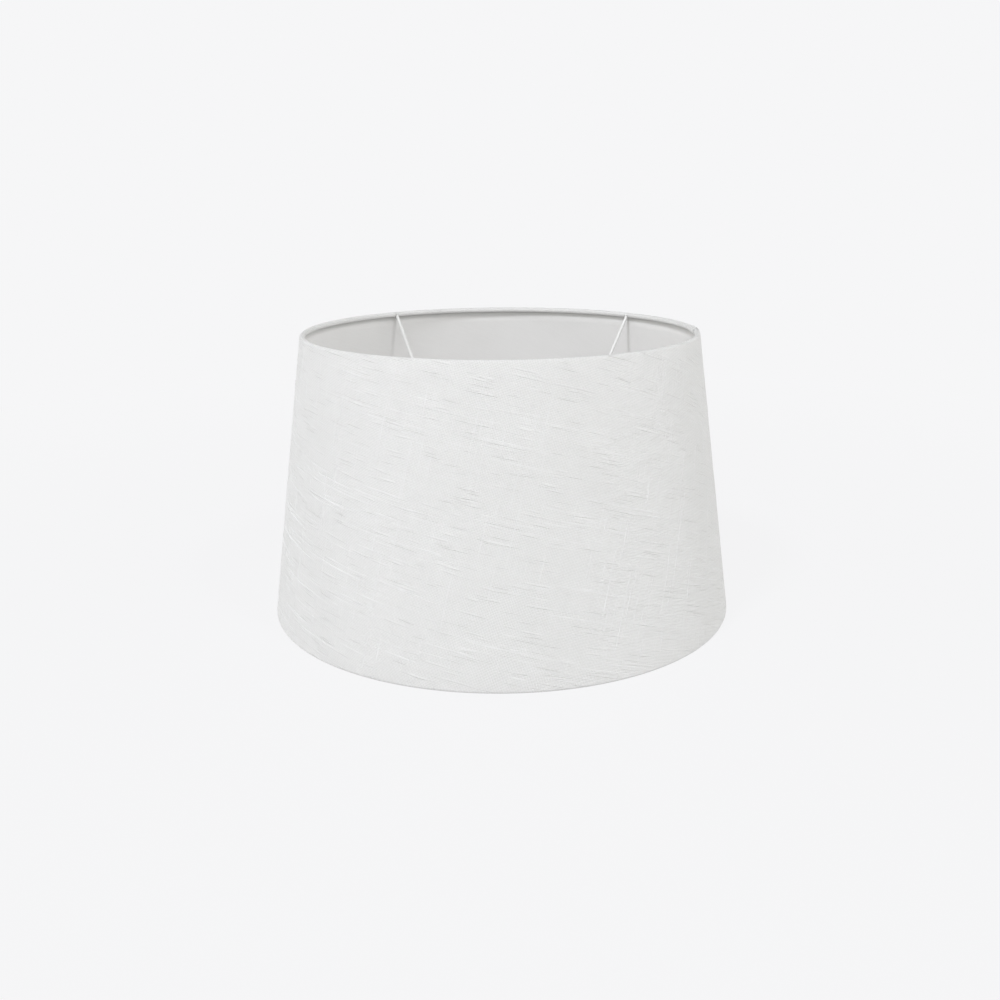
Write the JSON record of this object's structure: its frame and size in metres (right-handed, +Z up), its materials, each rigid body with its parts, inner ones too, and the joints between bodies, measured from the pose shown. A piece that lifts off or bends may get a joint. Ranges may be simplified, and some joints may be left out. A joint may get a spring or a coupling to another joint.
{
  "type": "lamp shade",
  "caption": "Tapered cloth lamp shade with rolled wire-ring hems, a recessed wire carrier with a fitter ring, and a lift-out reducer ring.",
  "frame": {"origin": "middle of the bottom edge, on the shade's axis, at the height of the table it stands on", "axes": "+Z up along the shade's axis to its narrow end, +X towards the lap seam"},
  "size_m": [0.3001, 0.2996, 0.1805],
  "materials": {
    "slub_cloth": "matte plain weave with slubs",
    "liner_film": "smooth matte film",
    "adhesive": "double-sided adhesive strip",
    "wire_paint": "satin white paint",
    "fitter_paint": "satin white paint",
    "reducer_plastic": "moulded, satin"
  },
  "bodies": {
    "shade": {"cover_cloth": "slub_cloth", "liner_sheet": "liner_film", "seam_tape": "adhesive", "top_hem_tape": "adhesive", "bottom_hem_tape": "adhesive", "top_ring": "wire_paint", "bottom_ring": "wire_paint", "spider_arm_1": "wire_paint", "spider_arm_2": "wire_paint", "spider_arm_3": "wire_paint", "spider_arm_4": "wire_paint", "fitter_ring": "fitter_paint"},
    "reducer": {"reducer_ring": "reducer_plastic"}
  },
  "joints": [
    {"name": "reducer_lift", "type": "slide", "parent": "shade", "child": "reducer", "axis": [0, 0, 1], "range_m": [0, 0.06]}
  ]
}
